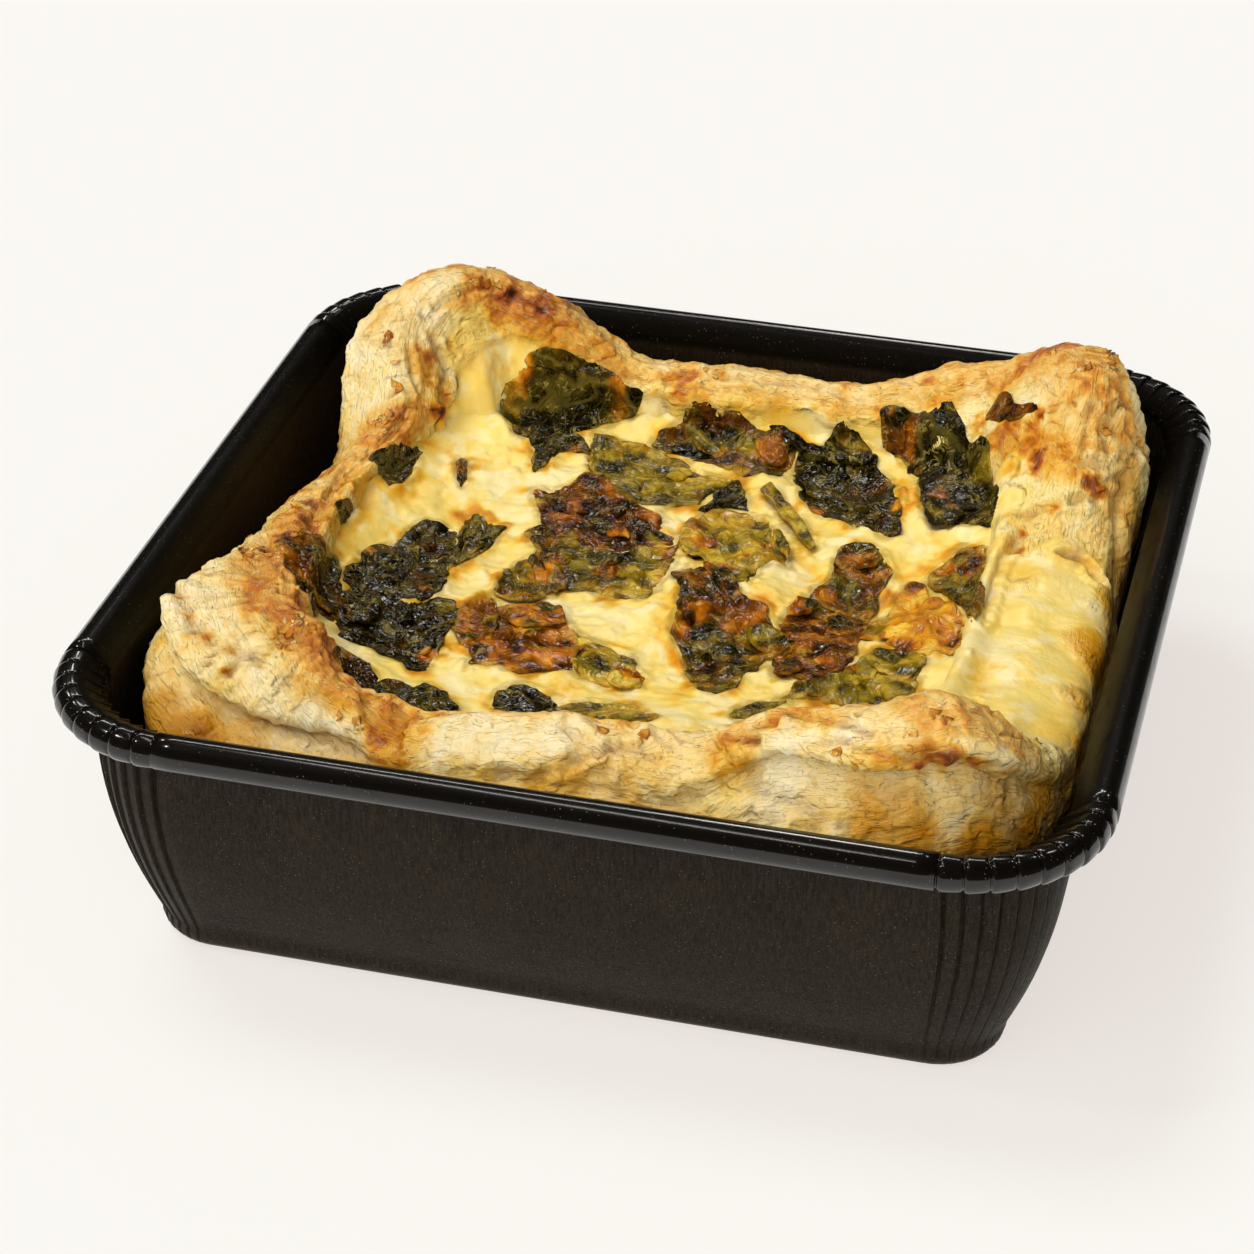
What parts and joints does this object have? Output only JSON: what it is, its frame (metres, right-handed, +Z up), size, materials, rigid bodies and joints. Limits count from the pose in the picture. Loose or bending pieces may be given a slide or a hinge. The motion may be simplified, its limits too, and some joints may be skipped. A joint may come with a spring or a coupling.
{
  "type": "spinach quiche in a square baking tray",
  "caption": "Square spinach quiche: a puff pastry case with raised corners, baked custard and wilted leaves, in a black pleated board tray.",
  "frame": {"origin": "under the middle of the tray, on the surface it stands on", "axes": "+Z up, +X to the right and +Y to the back as seen from the side with the front ridge; the tray's sides lie along X and Y"},
  "size_m": [0.155, 0.155, 0.0611],
  "materials": {
    "board": "laminated board, satin walls and a glossy rolled rim",
    "pastry": "baked puff pastry, pale gold with browned edges",
    "custard": "baked egg custard, pale yellow with browned patches",
    "spinach": "wilted leaf, glossy dark green with browned parts"
  },
  "bodies": {
    "root": {"custard": "custard", "pastry_case": "pastry", "spinach_back_left": "spinach", "spinach_back_left_tail": "spinach", "spinach_back_middle": "spinach", "spinach_back_olive": "spinach", "spinach_back_peak": "spinach", "spinach_back_right_leaf": "spinach", "spinach_back_right_low": "spinach", "spinach_back_right_side": "spinach", "spinach_bank_fleck": "spinach", "spinach_burnt_middle": "spinach", "spinach_dark_triangle": "spinach", "spinach_flap_brown": "spinach", "spinach_flap_dark": "spinach", "spinach_front_dark": "spinach", "spinach_front_left_brown": "spinach", "spinach_front_middle": "spinach", "spinach_front_olive": "spinach", "spinach_front_right": "spinach", "spinach_front_teal": "spinach", "spinach_knob_flake": "spinach", "spinach_left_cluster": "spinach", "spinach_left_front": "spinach", "spinach_left_lobed": "spinach", "spinach_left_wall_low": "spinach", "spinach_middle": "spinach", "spinach_middle_left": "spinach", "spinach_olive_middle": "spinach", "spinach_red_brown": "spinach", "spinach_ridge_sliver": "spinach", "spinach_right_edge": "spinach", "spinach_right_orange": "spinach", "spinach_right_upper": "spinach", "spinach_wall_fleck": "spinach", "spinach_wall_leaf": "spinach", "tray": "board"}
  },
  "joints": []
}
